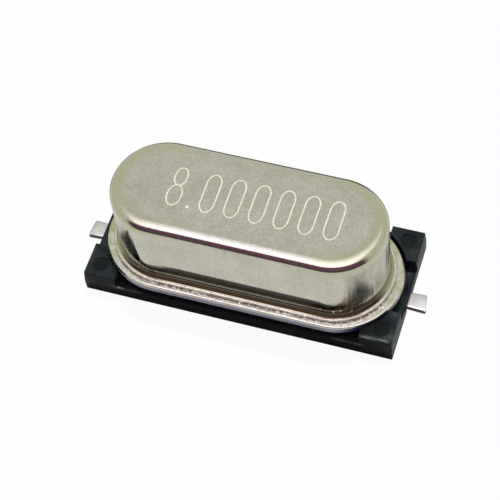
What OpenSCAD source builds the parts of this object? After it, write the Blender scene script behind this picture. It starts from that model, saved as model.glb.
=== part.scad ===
// Surface-mount quartz crystal unit: a drawn metal can welded to a header with two
// glass-sealed leads, standing on a black plastic base, with the blank held inside.
// +X runs along the can, +Z is up and z = 0 is the face that meets the board.

/* [Package] */
// Height of the top of the can above the board
total_h = 4.3; // [3.9:0.05:4.8]
// Distance between the tips of the two leads
lead_span = 12.7; // [12.2:0.05:13.4]
// Distance between the two wires where they pass through the header
lead_pitch = 4.88; // [4.6:0.02:5.2]

/* [Plastic base] */
// Length of the base
base_l = 11.4; // [11.2:0.05:12]
// Width of the base
base_w = 4.76; // [4.7:0.02:5.2]
// Thickness of the floor
floor_t = 0.54; // [0.45:0.01:0.7]
// Height of the seat that carries the header above the floor
seat_h = 0.16; // [0.12:0.01:0.25]
// Distance from the rim of the header in to the edge of the seat
seat_in = 0.25; // [0.1:0.01:0.4]
// Height of the corner posts above the floor
post_h = 0.5; // [0.3:0.02:0.7]
// Length of a corner post along the base
post_l = 1.2; // [0.9:0.05:1.5]
// Width of a corner post across the base
post_w = 1.3; // [1:0.05:1.6]
// Gap between a corner post and the rim of the header
post_gap = 0.1; // [0.05:0.01:0.2]
// Diameter of the round ejector mark on each corner post
mark_d = 0.62; // [0.4:0.02:0.7]
// Depth of the ejector marks
mark_depth = 0.03; // [0.02:0.01:0.08]
// Distance from a post's outer faces to the middle of its mark
mark_inset = 0.52; // [0.4:0.02:0.6]
// Play around the lead in its groove and slot
lead_play = 0.06; // [0.03:0.01:0.1]

/* [Header] */
// Length over the rim of the header
header_l = 10.9; // [10.7:0.01:11]
// Width over the rim of the header
header_w = 4.58; // [4.5:0.01:4.62]
// Thickness of the header sheet
header_t = 0.35; // [0.3:0.01:0.42]
// Rounding of the upper outer edge of the rim
header_edge_r = 0.12; // [0.05:0.01:0.2]
// Rounding of the lower outer edge of the rim
header_foot_r = 0.06; // [0.02:0.01:0.1]
// Height by which the middle of the header rises inside the can
header_rise = 0.4; // [0.3:0.02:0.5]
// Gap between the raised middle and the wall of the can
header_fit = 0.1; // [0.05:0.01:0.2]
// Diameter of a glass seal
seal_d = 1.3; // [1:0.05:1.5]
// Wall of the collar that holds a glass seal
collar_t = 0.25; // [0.15:0.01:0.3]
// Height of the collars above the seat
collar_gap = 0.08; // [0.04:0.01:0.15]
// Distance from the ends of a seal to the ends of its collar
seal_inset = 0.04; // [0.02:0.01:0.08]
// Depth of the hollow in each end of a seal
meniscus = 0.05; // [0.02:0.01:0.08]

/* [Can] */
// Length over the walls of the can
can_l = 9.9; // [9.8:0.01:10.1]
// Width over the walls of the can
can_w = 3.84; // [3.7:0.01:3.9]
// Thickness of the can's sheet
can_t = 0.24; // [0.18:0.01:0.28]
// Outer radius of the edge around the top
can_edge_r = 0.4; // [0.28:0.01:0.5]
// Outer radius of the bend between the wall and the rim
can_foot_r = 0.14; // [0.08:0.01:0.15]
// Width of the header's rim left bare around the rim of the can
weld_ring = 0.16; // [0.1:0.01:0.2]
// Rounding of the upper edge of the can's rim
can_rim_r = 0.05; // [0.02:0.01:0.08]

/* [Leads] */
// Diameter of the round wire
wire_d = 0.45; // [0.4:0.01:0.5]
// Width of the flattened part
lead_w = 0.72; // [0.6:0.01:0.8]
// Thickness of the flattened part
lead_t = 0.24; // [0.18:0.01:0.3]
// Radius of the bend under the header, to the middle of the wire
bend_r = 0.34; // [0.3:0.01:0.4]
// Length over which the wire turns from round to flat
coin_l = 0.25; // [0.15:0.01:0.4]
// Height of a lead above the raised middle of the header
post_top = 0.6; // [0.4:0.02:0.8]
// Diameter of the flattened head on top of a lead
head_d = 0.8; // [0.6:0.02:1]
// Thickness of that head
head_t = 0.12; // [0.08:0.01:0.2]

/* [Crystal mount] */
// Thickness of the sheet of the spring clips
clip_t = 0.1; // [0.06:0.01:0.14]
// Width of a spring clip
clip_w = 1.1; // [0.8:0.05:1.4]
// Height by which a clip steps up from the head to the blank
clip_rise = 0.32; // [0.2:0.02:0.5]
// Height of the stop at the end of a clip
clip_stop_h = 0.34; // [0.25:0.01:0.5]
// Gap between the end of the blank and the stop
stop_gap = 0.08; // [0.04:0.01:0.15]
// Thickness of the glue under the blank
glue_t = 0.04; // [0.02:0.01:0.08]
// Diameter of a glue dot
glue_d = 0.9; // [0.6:0.05:1]
// Height of a glue dot above the blank
glue_h = 0.1; // [0.05:0.01:0.2]

/* [Blank] */
// Length of the quartz blank
blank_l = 7.9; // [7.6:0.05:8.2]
// Width of the quartz blank
blank_w = 1.9; // [1.6:0.05:2.2]
// Thickness of the quartz blank
blank_t = 0.21; // [0.15:0.01:0.3]
// Length of the electrodes
electrode_l = 3.6; // [3:0.1:4.2]
// Width of the electrodes
electrode_w = 1.4; // [1:0.05:1.6]
// Width of the tab that joins an electrode to its end of the blank
tab_w = 0.7; // [0.5:0.05:0.9]
// Thickness of the metal film
film_t = 0.02; // [0.01:0.005:0.03]

/* [Hidden] */
$fn = 96;
// A cut reaches this far past the face that it opens
over = 1;
// Length of the straight middle line shared by the header and, apart, by the can
header_spine = header_l - header_w;
can_spine = can_l - can_w;
// Heights of the header's rim, its raised middle and the ends of the collars
seat_top = floor_t + seat_h;
rim_top = seat_top + header_t;
middle_top = rim_top + header_rise;
collar_bottom = seat_top + collar_gap;
// Half width of the raised middle and of the hollow under it
middle_r = can_w / 2 - can_t - header_fit;
hollow_r = middle_r - header_t;
seal_bottom = collar_bottom + seal_inset;
seal_top = middle_top - seal_inset;
// The lead stands at wire_x, its flat lies on z = 0 from flat_x to the tip
wire_x = lead_pitch / 2;
flat_x = wire_x + bend_r + coin_l;
tip_x = lead_span / 2;
head_top = middle_top + post_top;
// Heights inside the can
shelf_top = head_top + clip_rise + clip_t;
film_bottom = shelf_top + glue_t;
blank_z = film_bottom + film_t;
blank_top = blank_z + blank_t;
stop_x = blank_l / 2 + stop_gap;
post_top_z = floor_t + post_h;

// Runs a half section, drawn outward from the middle line, around a round-ended shape
module round_ended(spine) {
    for (side = [0, 1])
        mirror([side, 0, 0])
            translate([spine / 2, 0, 0])
                rotate(-90)
                    rotate_extrude(angle = 180)
                        children();
    translate([-spine / 2, 0, 0])
        rotate([90, 0, 90])
            linear_extrude(spine) {
                children();
                mirror([1, 0]) children();
            }
}

// Rectangle from the middle line outward, with its outer corners rounded
module edge_rounded(inner, outer, bottom, top, top_r, bottom_r = 0) {
    middle = (bottom + top) / 2;
    translate([inner, bottom + bottom_r])
        square([outer - inner, top - bottom - top_r - bottom_r]);
    translate([inner, middle]) square([outer - inner - top_r, top - middle]);
    translate([inner, bottom]) square([outer - inner - bottom_r, middle - bottom]);
    translate([outer - top_r, top - top_r]) circle(top_r);
    if (bottom_r > 0)
        translate([outer - bottom_r, bottom + bottom_r]) circle(bottom_r);
}

module at_lead(side) {
    mirror([side < 0 ? 1 : 0, 0, 0])
        translate([wire_x, 0, 0])
            children();
}

// One corner post, with the inner corner cut back around the rim of the header
module corner_post() {
    difference() {
        translate([base_l / 2 - post_l, base_w / 2 - post_w, 0])
            cube([post_l, post_w, post_top_z]);
        translate([header_spine / 2, 0, floor_t])
            cylinder(h = post_h + over, r = header_w / 2 + post_gap);
        translate([base_l / 2 - mark_inset, base_w / 2 - mark_inset, post_top_z - mark_depth])
            cylinder(h = over, d = mark_d);
    }
}

// Slot that lets the bent wire through the floor, and the groove that takes its flat
module lead_way() {
    slot_w = wire_d + 2 * lead_play;
    slot_l = bend_r + coin_l;
    groove_w = lead_w + 2 * lead_play;
    translate([0, 0, -over]) cylinder(h = seat_top + 2 * over, d = slot_w);
    translate([0, -groove_w / 2, -over])
        cube([slot_l, groove_w, seat_top + 2 * over]);
    translate([0, -groove_w / 2, -over])
        cube([base_l, groove_w, lead_t + lead_play + over]);
}

module plastic_base() {
    color([0.08, 0.09, 0.1])
        difference() {
            union() {
                translate([-base_l / 2, -base_w / 2, 0]) cube([base_l, base_w, floor_t]);
                round_ended(header_spine) square([header_w / 2 - seat_in, seat_top]);
                for (sx = [0, 1], sy = [0, 1])
                    mirror([sx, 0, 0]) mirror([0, sy, 0]) corner_post();
            }
            for (side = [-1, 1]) at_lead(side) lead_way();
        }
}

module header_shell() {
    color([0.72, 0.71, 0.66])
        difference() {
            union() {
                round_ended(header_spine)
                    edge_rounded(hollow_r, header_w / 2, seat_top, rim_top, header_edge_r, header_foot_r);
                round_ended(can_spine)
                    translate([0, rim_top]) square([middle_r, header_rise]);
                for (side = [-1, 1])
                    at_lead(side)
                        translate([0, 0, collar_bottom])
                            cylinder(h = rim_top - collar_bottom, d = seal_d + 2 * collar_t);
            }
            for (side = [-1, 1])
                at_lead(side) cylinder(h = middle_top + over, d = seal_d);
        }
}

// Half section of the can: top and wall, the bend at the foot and the rim
module can_section() {
    wall_r = can_w / 2;
    rim_r = header_w / 2 - weld_ring;
    bend_top = rim_top + can_t + can_foot_r;
    difference() {
        edge_rounded(0, wall_r, bend_top, total_h, can_edge_r);
        edge_rounded(-over, wall_r - can_t, 0, total_h - can_t, can_edge_r - can_t);
    }
    intersection() {
        translate([wall_r + can_foot_r, bend_top])
            difference() {
                circle(can_foot_r + can_t);
                circle(can_foot_r);
            }
        translate([0, rim_top]) square([wall_r + can_foot_r, bend_top - rim_top]);
    }
    edge_rounded(wall_r + can_foot_r, rim_r, rim_top, rim_top + can_t, can_rim_r);
}

module cover_can() {
    color([0.8, 0.79, 0.74]) round_ended(can_spine) can_section();
}

// Glass ring between the wire and its collar, hollowed at both ends
module glass_seal(side) {
    ring_w = (seal_d - wire_d) / 2;
    dish_r = (pow(ring_w / 2, 2) + pow(meniscus, 2)) / (2 * meniscus);
    color([0.25, 0.4, 0.38])
        at_lead(side)
            rotate_extrude()
                difference() {
                    translate([wire_d / 2, seal_bottom]) square([ring_w, seal_top - seal_bottom]);
                    for (z = [seal_bottom + meniscus - dish_r, seal_top - meniscus + dish_r])
                        translate([wire_d / 2 + ring_w / 2, z]) circle(dish_r);
                }
}

// Flattened end of the lead: a bar with rounded sides, lying on z = 0
module lead_flat(from, to) {
    translate([from, -(lead_w - lead_t) / 2, 0]) cube([to - from, lead_w - lead_t, lead_t]);
    for (s = [-1, 1])
        translate([from, s * (lead_w - lead_t) / 2, lead_t / 2])
            rotate([0, 90, 0]) cylinder(h = to - from, d = lead_t);
}

// One lead: headed wire, bend, the stretch where it is pressed flat, and the flat
module lead(side) {
    color([0.85, 0.85, 0.85])
        at_lead(side) {
            translate([0, 0, wire_d / 2 + bend_r])
                cylinder(h = head_top - wire_d / 2 - bend_r, d = wire_d);
            translate([0, 0, head_top - head_t]) cylinder(h = head_t, d = head_d);
            translate([bend_r, 0, wire_d / 2 + bend_r])
                rotate([-90, 0, 0])
                    rotate([0, 0, 90])
                        rotate_extrude(angle = 90)
                            translate([bend_r, 0]) circle(d = wire_d);
            hull() {
                translate([bend_r, 0, wire_d / 2])
                    rotate([0, 90, 0]) cylinder(h = 0.001, d = wire_d, $fn = 32);
                translate([flat_x - wire_x, -(lead_w - lead_t) / 2, 0])
                    cube([0.001, lead_w - lead_t, lead_t]);
                for (s = [-1, 1])
                    translate([flat_x - wire_x, s * (lead_w - lead_t) / 2, lead_t / 2])
                        rotate([0, 90, 0]) cylinder(h = 0.001, d = lead_t, $fn = 24);
            }
            lead_flat(flat_x - wire_x, tip_x - wire_x);
        }
}

// Springy strip welded on the head, stepped up to a shelf with a stop at its end
module spring_clip(side) {
    shelf_z = shelf_top - clip_t;
    step_x = head_d / 2;
    color([0.7, 0.62, 0.45])
        at_lead(side)
            translate([0, -clip_w / 2, 0]) {
                translate([-head_d / 2, 0, head_top]) cube([head_d + clip_t, clip_w, clip_t]);
                translate([step_x, 0, head_top]) cube([clip_t, clip_w, shelf_top - head_top]);
                translate([step_x, 0, shelf_z])
                    cube([stop_x + clip_t - wire_x - step_x, clip_w, clip_t]);
                translate([stop_x - wire_x, 0, shelf_z])
                    cube([clip_t, clip_w, clip_t + clip_stop_h]);
            }
}

module quartz_blank() {
    color([0.85, 0.9, 0.95, 0.6])
        translate([-blank_l / 2, -blank_w / 2, blank_z]) cube([blank_l, blank_w, blank_t]);
}

// Metal film on one face of the blank, with its tab running to one end
module electrode(z, side) {
    color([0.9, 0.9, 0.92])
        translate([0, 0, z])
            mirror([side < 0 ? 1 : 0, 0, 0]) {
                translate([-electrode_l / 2, -electrode_w / 2, 0])
                    cube([electrode_l, electrode_w, film_t]);
                translate([0, -tab_w / 2, 0]) cube([blank_l / 2, tab_w, film_t]);
            }
}

module electrode_top() {
    electrode(blank_top, -1);
}

module electrode_bottom() {
    electrode(film_bottom, 1);
}

// Conductive glue around one end of the blank, down to the shelf of the clip
module adhesive_dot(side) {
    color([0.55, 0.55, 0.57])
        difference() {
            translate([side * (stop_x - glue_d / 2), 0, shelf_top])
                cylinder(h = blank_top + film_t + glue_h - shelf_top, d = glue_d);
            quartz_blank();
            electrode_top();
            electrode_bottom();
        }
}

plastic_base();
header_shell();
cover_can();
glass_seal(-1);  // glass_seal_left
glass_seal(1);  // glass_seal_right
lead(-1);  // lead_left
lead(1);  // lead_right
spring_clip(-1);  // spring_clip_left
spring_clip(1);  // spring_clip_right
quartz_blank();
electrode_top();
electrode_bottom();
adhesive_dot(-1);  // adhesive_dot_left
adhesive_dot(1);  // adhesive_dot_right
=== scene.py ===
# %% [markdown]
# # A quartz crystal unit for a circuit board
#
# The real unit has a can drawn from nickel-plated sheet, welded to a stamped header. Two
# wires come through glass seals in the header, are bent outward under it and pressed flat.
# A black moulded base carries the header, so that the unit stands flat on a board.
#
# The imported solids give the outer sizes. They could be shown as they are, but sheet metal
# has soft edges, a weld has a rough seam and moulded plastic has draft, so each outer piece
# is modelled again here, inside the box of the solid that it stands for.

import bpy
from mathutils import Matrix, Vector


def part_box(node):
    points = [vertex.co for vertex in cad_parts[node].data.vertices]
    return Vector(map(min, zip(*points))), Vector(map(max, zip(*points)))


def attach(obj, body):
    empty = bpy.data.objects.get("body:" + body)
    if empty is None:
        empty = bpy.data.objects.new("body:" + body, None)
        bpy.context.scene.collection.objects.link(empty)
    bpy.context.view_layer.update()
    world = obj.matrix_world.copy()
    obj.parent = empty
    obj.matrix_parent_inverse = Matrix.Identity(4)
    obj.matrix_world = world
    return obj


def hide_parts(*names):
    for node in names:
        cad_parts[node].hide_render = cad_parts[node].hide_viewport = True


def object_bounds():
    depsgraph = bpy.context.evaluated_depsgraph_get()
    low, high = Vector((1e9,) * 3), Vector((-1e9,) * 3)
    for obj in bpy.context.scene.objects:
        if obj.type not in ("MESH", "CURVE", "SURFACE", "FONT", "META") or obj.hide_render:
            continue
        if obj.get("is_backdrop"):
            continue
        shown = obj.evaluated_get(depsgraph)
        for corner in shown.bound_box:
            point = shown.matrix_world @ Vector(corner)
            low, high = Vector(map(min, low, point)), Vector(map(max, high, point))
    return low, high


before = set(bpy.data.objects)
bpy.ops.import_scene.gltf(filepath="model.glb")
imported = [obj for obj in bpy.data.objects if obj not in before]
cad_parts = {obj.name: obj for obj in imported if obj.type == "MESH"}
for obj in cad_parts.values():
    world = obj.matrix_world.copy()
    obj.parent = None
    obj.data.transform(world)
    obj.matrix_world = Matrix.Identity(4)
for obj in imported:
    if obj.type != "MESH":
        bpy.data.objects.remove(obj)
cad_low, cad_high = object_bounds()
print("solids:", ", ".join(sorted(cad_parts)))

# %% Modules, and the unit of the sizes below
import math

import bmesh
import bpy
from mathutils import Matrix, Vector

MM = 0.001
TINY = 0.0005 * MM
print(f"1 mm is {MM} m; points closer than {TINY / MM} mm count as one")

# %% [markdown]
# ## Sizes
#
# The outer sizes are read from the boxes of the solids, so that this script follows them.
# What a box can't tell, such as the thickness of a sheet or the radius of a bend, is named
# in millimetres just before the piece that it belongs to.

# %% Sizes read from the frame
base_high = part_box("plastic_base")[1]
header_low, header_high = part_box("header_shell")
can_low, can_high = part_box("cover_can")
lead_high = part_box("lead_right")[1]

seat_top = header_low.z
rim_top = can_low.z
header_r = header_high.y
header_spine = 2 * (header_high.x - header_r)
can_rim_r = can_high.y
can_spine = 2 * (can_high.x - can_rim_r)
print(f"can {can_high.z / MM:.2f} mm high, header {2 * header_high.x / MM:.2f} mm long")

# %% [markdown]
# ## Picking with code
#
# By hand, one would click on the vertices to move. In a script the same thing is done by
# saying what is true of them: above this height, right of the middle, on an open edge.
# `pick` does that, and the modelling steps below are built on it.

# %% pick: select by a test
def pick(kind, test):
    bpy.ops.mesh.select_mode(type=kind)
    bpy.ops.mesh.select_all(action="DESELECT")
    mesh = bmesh.from_edit_mesh(bpy.context.edit_object.data)
    items = {"VERT": mesh.verts, "EDGE": mesh.edges, "FACE": mesh.faces}[kind]
    chosen = [item for item in items if test(item)]
    for item in chosen:
        item.select_set(True)
    mesh.select_flush_mode()
    bmesh.update_edit_mesh(bpy.context.edit_object.data)
    return len(chosen)


def middle_of(item):
    return sum((vertex.co for vertex in item.verts), Vector()) / len(item.verts)


def select_all():
    bpy.ops.mesh.select_all(action="SELECT")


# %% Small helpers: start, name, edit and leave one object
def deselect_objects():
    bpy.ops.object.select_all(action="DESELECT")


def only(piece):
    deselect_objects()
    piece.select_set(True)
    bpy.context.view_layer.objects.active = piece


def settle(name):
    """Names the new object, and moves its place and size into its mesh."""
    piece = bpy.context.object
    piece.name = name
    piece.data.name = name
    bpy.ops.object.transform_apply(location=True, rotation=True, scale=True)
    return piece


def edit(piece):
    only(piece)
    bpy.ops.object.mode_set(mode="EDIT")


def leave_edit():
    bpy.ops.object.mode_set(mode="OBJECT")
    return bpy.context.object


# %% Small helpers: move what is selected, apply a modifier, measure
def shift_by(x, y, z):
    bpy.ops.transform.translate(value=(x, y, z))


def extrude_by(x, y, z):
    bpy.ops.mesh.extrude_region_move(TRANSFORM_OT_translate={"value": (x, y, z)})


def scale_about(place, factors):
    bpy.ops.transform.resize(value=factors, center_override=place)


def modify(piece, kind, **settings):
    only(piece)
    modifier = piece.modifiers.new(kind.title(), kind)
    for name, value in settings.items():
        setattr(modifier, name, value)
    bpy.ops.object.modifier_apply(modifier=modifier.name)


def count_points(title):
    mesh = bmesh.from_edit_mesh(bpy.context.edit_object.data)
    print(f"{title}: {len(mesh.verts)} points")


def report(piece):
    mesh = piece.data
    mesh.calc_loop_triangles()
    shape = bmesh.new()
    shape.from_mesh(mesh)
    open_edges = sum(1 for edge in shape.edges if not edge.is_manifold)
    volume = shape.calc_volume(signed=True) / MM ** 3
    shape.free()
    triangles = len(mesh.loop_triangles)
    print(f"{piece.name}: {triangles} triangles, {volume:.2f} mm3, {open_edges} open edges")


# %% [markdown]
# ## Round-ended shapes
#
# The can and the header both have the plan of a running track: two half circles and two
# straight sides. Such a shape could be cut from a box, but its soft edges would then be
# bevelled along mixed curves and lines. Here half of the cross section is drawn once as a
# chain of edges, its corners are rounded, the chain is spun around the upright axis, and
# the two halves of the round result are pulled apart. The straight sides appear between.

# %% Draw a half section, and round its corners
def draw_section(name, points):
    deselect_objects()
    bpy.ops.mesh.primitive_plane_add(size=0.1 * MM)
    settle(name)
    bpy.ops.object.mode_set(mode="EDIT")
    bpy.ops.mesh.merge(type="CENTER")
    spots = [Vector((radius, 0, height)) for radius, height in points]
    shift_by(*spots[0])
    for here, there in zip(spots, spots[1:]):
        extrude_by(*(there - here))


def round_corner(radius, height, bend, segments):
    corner = Vector((radius, 0, height))
    pick("VERT", lambda vertex: (vertex.co - corner).length < TINY)
    bpy.ops.mesh.bevel(
        offset_type="OFFSET", offset=bend, segments=segments, profile=0.5, affect="VERTICES"
    )


# %% Spin it, and pull the halves apart
def spin_section(steps):
    select_all()
    bpy.ops.mesh.spin(steps=steps, angle=2 * math.pi, center=(0, 0, 0), axis=(0, 0, 1))
    select_all()
    bpy.ops.mesh.remove_doubles(threshold=TINY)


def pull_apart(spine, inside=0.0, outside=1.0):
    for side in (-1, 1):
        pick(
            "VERT",
            lambda vertex: vertex.co.x * side > 0 and inside < vertex.co.xy.length < outside,
        )
        shift_by(side * spine / 2, 0, 0)


def divide_straights(cuts):
    pick("EDGE", lambda edge: edge.verts[0].co.x * edge.verts[1].co.x < 0)
    bpy.ops.mesh.subdivide(number_cuts=cuts)


def close_opening(height):
    pick("EDGE", lambda edge: edge.is_boundary and abs(middle_of(edge).z - height) < TINY)
    bpy.ops.mesh.edge_face_add()


# %% Finish a mesh: normals outward, smooth bends, flat faces kept flat
def settle_normals():
    select_all()
    bpy.ops.mesh.normals_make_consistent(inside=False)


def smooth(piece, angle=30):
    only(piece)
    bpy.ops.object.shade_smooth_by_angle(angle=math.radians(angle), keep_sharp_edges=True)
    modify(piece, "WEIGHTED_NORMAL", keep_sharp=True, weight=100)


# %% [markdown]
# ## The can
#
# The can is deep-drawn: a flat blank is pushed through a die, which leaves a large soft
# edge around the top, a tight bend at the foot and a flat rim that is later welded down.
# The section below is the sheet itself, outside and inside, so the piece has its true
# wall. The flat top starts a little inside the edge and is closed with one face.

# %% Sizes of the can
wall_r = 1.92 * MM
can_t = 0.24 * MM
top_edge_r = 0.4 * MM
foot_r = 0.14 * MM
rim_edge_r = 0.05 * MM

can_top = can_high.z
rim_face = rim_top + can_t
inner_r = wall_r - can_t
top_start = wall_r - 2 * top_edge_r
print(f"can wall {can_t / MM:.2f} mm thick, {2 * wall_r / MM:.2f} mm over the walls")

# %% Section of the can
draw_section("drawn_can", [
    (top_start, can_top),
    (wall_r, can_top),
    (wall_r, rim_face),
    (can_rim_r, rim_face),
    (can_rim_r, rim_top),
    (inner_r, rim_top),
    (inner_r, can_top - can_t),
    (top_start, can_top - can_t),
])
round_corner(wall_r, can_top, top_edge_r, 14)
round_corner(wall_r, rim_face, foot_r, 10)
round_corner(can_rim_r, rim_face, rim_edge_r, 5)
round_corner(inner_r, rim_top, foot_r + can_t, 8)
round_corner(inner_r, can_top - can_t, top_edge_r - can_t, 4)
count_points("section of the can")

# %% Spin the can
spin_section(254)
pull_apart(can_spine)
divide_straights(30)
close_opening(can_top)
close_opening(can_top - can_t)
settle_normals()
can = leave_edit()
report(can)

# %% [markdown]
# ## The figures on the top
#
# A laser burns a short row of figures into the top: fine single lines, paler than the
# metal. They could be a pattern in the material, but a real groove catches the light from
# every side. Each figure is drawn as a chain of edges, turned into a curve, given a round
# section and made a mesh again. The tubes are then cut out of the top, only about a
# hundredth of a millimetre deep. The figures here are plain ones.

# %% Sizes of the figures
figure_h = 1.56 * MM
figure_w = 0.5 * MM
figure_pitch = 0.88 * MM
line_r = 0.036 * MM
line_depth = 0.014 * MM
point_r = 0.07 * MM
first_x = -2.5 * MM
point_x = -1.92 * MM
zeros_x = -1.3 * MM
row_y = 0.01 * MM
line_z = can_top + line_r - line_depth
small_h = 0.46 * figure_h
large_h = figure_h - small_h
print(f"figures {figure_h / MM:.2f} mm high, cut {line_depth / MM:.3f} mm deep")

# %% One oval, and the tube that follows it
def draw_oval(x, y, width, height):
    deselect_objects()
    bpy.ops.mesh.primitive_circle_add(vertices=46, radius=width / 2)
    bpy.ops.object.mode_set(mode="EDIT")
    stretch = 1.5
    bpy.ops.transform.resize(value=(1, stretch, 1))
    lift = (height - stretch * width) / 2
    for side in (-1, 1):
        pick("VERT", lambda vertex: vertex.co.y * side > TINY)
        shift_by(0, side * lift, 0)
    select_all()
    shift_by(x, y, line_z)
    return leave_edit()


def make_tube(line):
    only(line)
    bpy.ops.object.convert(target="CURVE")
    line.data.bevel_depth = line_r
    line.data.bevel_resolution = 3
    bpy.ops.object.convert(target="MESH")
    return line


# %% The row: an eight, a point and six noughts
figures = [
    draw_oval(first_x, row_y + (figure_h - small_h) / 2, 0.86 * figure_w, small_h),
    draw_oval(first_x, row_y - (figure_h - large_h) / 2, figure_w, large_h),
]
for place in range(6):
    figures.append(draw_oval(zeros_x + place * figure_pitch, row_y, figure_w, figure_h))
figures = [make_tube(figure) for figure in figures]

deselect_objects()
bpy.ops.mesh.primitive_cylinder_add(
    vertices=20, radius=point_r, depth=line_r,
    location=(point_x, row_y - figure_h / 2 + point_r, can_top + line_r / 2 - line_depth),
)
figures.append(settle("point"))
print("tubes to cut:", len(figures))

# %% Helpers: join pieces, cut one with another, add one to another
def join(pieces):
    only(pieces[0])
    for piece in pieces:
        piece.select_set(True)
    bpy.ops.object.join()
    return settle("joined")


def cut(piece, tool, crossing=False):
    modify(piece, "BOOLEAN", object=tool, operation="DIFFERENCE", solver="EXACT",
           use_self=crossing, material_mode="TRANSFER")
    bpy.data.objects.remove(tool)


def add_to(piece, part):
    modify(piece, "BOOLEAN", object=part, operation="UNION", solver="EXACT")
    bpy.data.objects.remove(part)


# %% Cut the row out of the top; the cut faces keep the material of the tubes
can.data.materials.append(bpy.data.materials.new("can_metal"))
row = join(figures)
row.data.materials.clear()
row.data.materials.append(bpy.data.materials.new("laser_line"))
cut(can, row, crossing=True)
smooth(can)
report(can)

# %% [markdown]
# ## The header
#
# The header is stamped from thicker sheet. Its rim carries the rim of the can, its middle
# is pushed up into the can, and two collars below hold the glass. Around the rim of the
# can the weld leaves a low uneven bead. The bead could be painted on as a bump, but it
# breaks the outline of the seam, so it is drawn in the section and then roughened with a
# Displace modifier that only works on the seam.

# %% Sizes of the header
header_t = 0.35 * MM
header_edge_r = 0.13 * MM
header_foot_r = 0.06 * MM
middle_r = 1.58 * MM
hollow_r = 1.23 * MM
cap_r = 0.6 * hollow_r
middle_top = header_high.z
bead_w = 0.035 * MM
bead_h = 0.03 * MM
wire_x = 2.44 * MM
seal_d = 1.3 * MM
collar_d = 1.8 * MM
collar_bottom = 0.78 * MM
print(f"the middle of the header rises {(middle_top - rim_top) / MM:.2f} mm into the can")

# %% Section of the header
draw_section("stamped_header", [
    (cap_r, rim_top),
    (hollow_r, rim_top),
    (hollow_r, seat_top),
    (header_r, seat_top),
    (header_r, rim_top),
    (can_rim_r + bead_w, rim_top),
    (can_rim_r + 0.6 * bead_w, rim_top + 0.5 * bead_h),
    (can_rim_r + 0.2 * bead_w, rim_top + bead_h),
    (can_rim_r - 0.4 * bead_w, rim_top + bead_h),
    (can_rim_r - bead_w, rim_top),
    (middle_r, rim_top),
    (middle_r, middle_top),
    (cap_r, middle_top),
])
round_corner(header_r, seat_top, header_foot_r, 5)
round_corner(header_r, rim_top, header_edge_r, 8)
count_points("section of the header")

# %% Spin the header: its rim and its middle have straights of different lengths
spin_section(382)
bend_start_r = header_r - header_edge_r - TINY
pull_apart(can_spine, hollow_r + TINY, bend_start_r)
pull_apart(header_spine, 0, header_r + TINY)
divide_straights(150)
close_opening(rim_top)
close_opening(middle_top)
settle_normals()
count_points("header")


# %% Find the seam
def off_spine(place, spine):
    return math.hypot(max(abs(place.x) - spine / 2, 0), place.y)


def on_seam(vertex):
    seam_low = can_rim_r - 0.5 * bead_w
    seam_high = can_rim_r + bead_w
    return vertex.co.z > rim_top - TINY and seam_low < off_spine(vertex.co, can_spine) < seam_high


seam_points = pick("VERT", on_seam)
bpy.ops.object.vertex_group_add()
bpy.ops.object.vertex_group_assign()
header = leave_edit()
print("points on the seam:", seam_points)

# %% Roughen it
weld_grain = bpy.data.textures.new("weld_grain", "CLOUDS")
weld_grain.noise_scale = 0.13 * MM
weld_grain.noise_depth = 1
modify(header, "DISPLACE", texture=weld_grain, texture_coords="LOCAL", strength=0.05 * MM,
       mid_level=0.5, vertex_group=header.vertex_groups[0].name)
report(header)

# %% [markdown]
# The collars and the holes for the glass are round and stand apart from the track shape,
# so they are added to and cut from the finished shell with Boolean modifiers.

# %% Collars and holes
def add_cylinder(name, radius, low, high, x=0.0, y=0.0, sides=64):
    deselect_objects()
    bpy.ops.mesh.primitive_cylinder_add(
        vertices=sides, radius=radius, depth=high - low, location=(x, y, (low + high) / 2)
    )
    return settle(name)


header.data.materials.append(bpy.data.materials.new("header_metal"))
for side in (-1, 1):
    collar_top = rim_top + header_t / 2
    add_to(header, add_cylinder("collar", collar_d / 2, collar_bottom, collar_top, side * wire_x))
for side in (-1, 1):
    cut(header, add_cylinder("hole", seal_d / 2, 0, can_top, side * wire_x))
smooth(header)
report(header)

# %% [markdown]
# ## The base
#
# The base is one injection moulding. A seat in its middle carries the header a little above
# the floor, which leaves a dark slit under the rim. Four corner posts stand beside the
# header, and their inner faces follow its round ends with a small gap. The pins that push
# the part out of the mould leave a round mark on each post. The base starts as a cube:
# bisect lays out the posts on its top, extrude raises them, and their tops are drawn in a
# little, because a mould needs draft. The gap, the seat and the soft edges come next, and
# the marks and the ways for the leads are cut last.

# %% Sizes of the leads, which the base leaves room for
wire_d = 0.45 * MM
bend_r = 0.34 * MM
coin_l = 0.25 * MM
flat_w = 0.72 * MM
flat_t = 0.24 * MM
lead_play = 0.06 * MM
way_half = flat_w / 2 + lead_play
groove_top = flat_t + lead_play
slot_end = wire_x + bend_r + coin_l
print(f"the way for a lead is {2 * way_half / MM:.2f} mm wide, {groove_top / MM:.2f} mm high")

# %% Sizes of the base
half_l = base_high.x
half_w = base_high.y
post_top = base_high.z
floor_top = 0.54 * MM
post_x = half_l - 1.2 * MM
post_y = half_w - 1.3 * MM
post_gap = 0.1 * MM
seat_in = 0.25 * MM
mark_d = 0.62 * MM
mark_inset = 0.52 * MM
mark_depth = 0.03 * MM
draft_in = 0.04 * MM
soft_edge = 0.025 * MM
mark_x = half_l - mark_inset
mark_y = half_w - mark_inset
print(f"base {2 * half_l / MM:.2f} x {2 * half_w / MM:.2f} mm, posts {post_top / MM:.2f} mm high")

# %% Floor and posts
def add_box(name, low, high):
    low = Vector(low)
    high = Vector(high)
    deselect_objects()
    bpy.ops.mesh.primitive_cube_add(size=1, location=(low + high) / 2, scale=high - low)
    return settle(name)


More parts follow.
